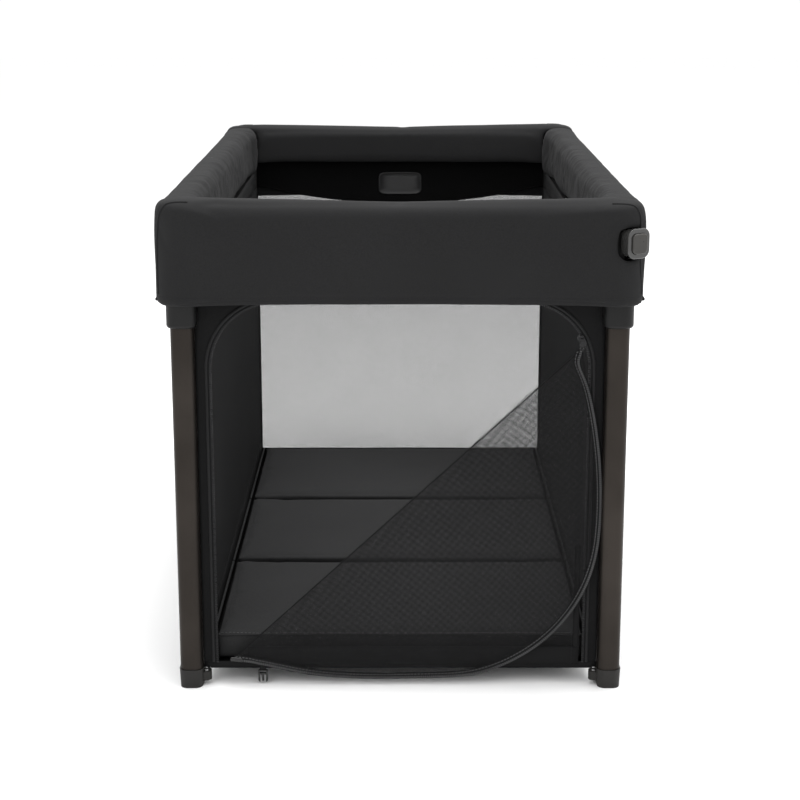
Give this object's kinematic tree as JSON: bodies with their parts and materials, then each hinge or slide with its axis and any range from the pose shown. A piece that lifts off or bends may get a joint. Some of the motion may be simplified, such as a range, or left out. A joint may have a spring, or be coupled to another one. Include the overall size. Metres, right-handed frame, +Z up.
{
  "type": "travel playpen",
  "caption": "Rectangular folding travel playpen with padded rails, mesh walls and a zipped arched door folded half open.",
  "frame": {"origin": "on the floor under the middle of the playpen", "axes": "+X to the right seen from the door end, the door end at -Y, +Z up"},
  "size_m": [0.72, 1.0698, 0.752],
  "materials": {
    "cover_fabric": "matte woven polyester",
    "rail_metal": "matte black",
    "pin_steel": "plain",
    "screw_steel": "plain",
    "leg_metal": "satin black anodised",
    "hub_plastic": "matte black",
    "foot_plastic": "matte black",
    "bezel_plastic": "matte black",
    "button_plastic": "matte black",
    "wall_fabric": "matte black",
    "door_mesh": "black knitted mesh",
    "zip_tape": "matte black",
    "side_mesh": "matte black",
    "window_mesh": "matte black",
    "patch_rubber": "matte black",
    "strap_webbing": "matte black",
    "buckle_plastic": "matte black",
    "zip_metal": "matte black",
    "mattress_fabric": "matte black"
  },
  "bodies": {
    "near_end": {"near_end_cover": "cover_fabric", "near_end_rail": "rail_metal", "near_hub_pins": "pin_steel", "near_foot_screws": "screw_steel", "near_left_leg": "leg_metal", "near_left_hub": "hub_plastic", "near_left_foot": "foot_plastic", "near_right_leg": "leg_metal", "near_right_hub": "hub_plastic", "near_right_foot": "foot_plastic", "near_button_bezel": "bezel_plastic", "near_button_spring": "screw_steel", "near_wall_border": "wall_fabric", "door_lower_panel": "door_mesh", "frame_zip_chain": "zip_tape", "left_side_wall": "side_mesh", "right_side_wall": "side_mesh", "left_skirt": "cover_fabric", "right_skirt": "cover_fabric", "floor_sheet": "wall_fabric"},
    "far_end": {"far_end_cover": "cover_fabric", "far_end_rail": "rail_metal", "far_hub_pins": "pin_steel", "far_foot_screws": "screw_steel", "far_left_leg": "leg_metal", "far_left_hub": "hub_plastic", "far_left_foot": "foot_plastic", "far_right_leg": "leg_metal", "far_right_hub": "hub_plastic", "far_right_foot": "foot_plastic", "far_button_bezel": "bezel_plastic", "far_button_spring": "screw_steel", "far_wall_mesh": "window_mesh", "far_wall_border": "wall_fabric", "far_wall_patch": "patch_rubber"},
    "near_button": {"near_release_button": "button_plastic"},
    "far_button": {"far_release_button": "button_plastic"},
    "left_near_rail": {"left_near_rail_tube": "rail_metal", "left_near_rail_fittings": "hub_plastic", "left_near_sleeve": "cover_fabric", "left_centre_pin": "pin_steel"},
    "left_far_rail": {"left_far_rail_tube": "rail_metal", "left_far_rail_fittings": "hub_plastic", "left_far_sleeve": "cover_fabric"},
    "right_near_rail": {"right_near_rail_tube": "rail_metal", "right_near_rail_fittings": "hub_plastic", "right_near_sleeve": "cover_fabric", "right_centre_pin": "pin_steel"},
    "right_far_rail": {"right_far_rail_tube": "rail_metal", "right_far_rail_fittings": "hub_plastic", "right_far_sleeve": "cover_fabric"},
    "door": {"door_flap": "door_mesh", "flap_zip_chain": "zip_tape", "buckle_strap": "strap_webbing"},
    "buckle": {"buckle_male": "buckle_plastic"},
    "zip_slider": {"zip_slider": "zip_metal"},
    "zip_pull": {"zip_pull": "zip_metal"},
    "mattress_near": {"mattress_near": "mattress_fabric"},
    "mattress_middle": {"mattress_middle": "mattress_fabric"},
    "mattress_far": {"mattress_far": "mattress_fabric"}
  },
  "joints": [
    {"name": "frame_fold", "type": "hinge", "parent": "near_end", "child": "left_near_rail", "pos_m": [-0.33, -0.461, 0.669], "axis": [-1, 0, 0], "range_deg": [0, 85], "deforming": ["left_side_wall", "right_side_wall", "left_skirt", "right_skirt", "floor_sheet"]},
    {"name": "left_middle_hinge", "type": "hinge", "parent": "left_near_rail", "child": "left_far_rail", "pos_m": [-0.33, 0, 0.742], "axis": [1, 0, 0], "range_deg": [0, 170]},
    {"name": "far_end_hinge", "type": "hinge", "parent": "left_far_rail", "child": "far_end", "pos_m": [-0.33, 0.461, 0.669], "axis": [-1, 0, 0], "range_deg": [0, 85]},
    {"name": "right_rail_fold", "type": "hinge", "parent": "near_end", "child": "right_near_rail", "pos_m": [0.33, -0.461, 0.669], "axis": [-1, 0, 0], "range_deg": [0, 85]},
    {"name": "right_middle_hinge", "type": "hinge", "parent": "right_near_rail", "child": "right_far_rail", "pos_m": [0.33, 0, 0.742], "axis": [1, 0, 0], "range_deg": [0, 170]},
    {"name": "mattress_near_fold", "type": "hinge", "parent": "near_end", "child": "mattress_near", "pos_m": [0, -0.48, 0.072], "axis": [1, 0, 0], "range_deg": [0, 85]},
    {"name": "mattress_middle_fold", "type": "hinge", "parent": "mattress_near", "child": "mattress_middle", "pos_m": [0, -0.16, 0.032], "axis": [-1, 0, 0], "range_deg": [0, 170]},
    {"name": "mattress_far_fold", "type": "hinge", "parent": "mattress_middle", "child": "mattress_far", "pos_m": [0, 0.16, 0.072], "axis": [1, 0, 0], "range_deg": [0, 170]},
    {"name": "door_fold", "type": "hinge", "parent": "near_end", "child": "door", "pos_m": [0, -0.49325, 0.283], "axis": [-0.7278, 0, -0.6858], "range_deg": [0, 174]},
    {"name": "buckle_hang", "type": "hinge", "parent": "door", "child": "buckle", "pos_m": [-0.21, -0.4932, 0.02], "axis": [1, 0, 0], "range_deg": [-60, 0]},
    {"name": "zip_slide", "type": "hinge", "parent": "near_end", "child": "zip_slider", "pos_m": [0.179, -0.49, 0.499], "axis": [0, -1, 0], "range_deg": [0, 60]},
    {"name": "pull_swing", "type": "hinge", "parent": "zip_slider", "child": "zip_pull", "pos_m": [0.26663, -0.496, 0.54474], "axis": [1, 0, 0], "range_deg": [-150, 0]},
    {"name": "near_button_press", "type": "slide", "parent": "near_end", "child": "near_button", "axis": [-0.5, 0.866, 0], "range_m": [0, 0.0035], "stiffness_N_per_m": 900, "springref_m": -0.003, "deforming": ["near_button_spring"]},
    {"name": "far_button_press", "type": "slide", "parent": "far_end", "child": "far_button", "axis": [0.5, -0.866, 0], "range_m": [0, 0.0035], "stiffness_N_per_m": 900, "springref_m": -0.003, "deforming": ["far_button_spring"]}
  ],
  "couplings": [
    {"joint": "left_middle_hinge", "follows": "frame_fold", "ratio": 2},
    {"joint": "far_end_hinge", "follows": "frame_fold", "ratio": 1},
    {"joint": "right_rail_fold", "follows": "frame_fold", "ratio": 1},
    {"joint": "right_middle_hinge", "follows": "frame_fold", "ratio": 2},
    {"joint": "mattress_near_fold", "follows": "frame_fold", "ratio": 1},
    {"joint": "mattress_middle_fold", "follows": "frame_fold", "ratio": 2},
    {"joint": "mattress_far_fold", "follows": "frame_fold", "ratio": 2}
  ]
}
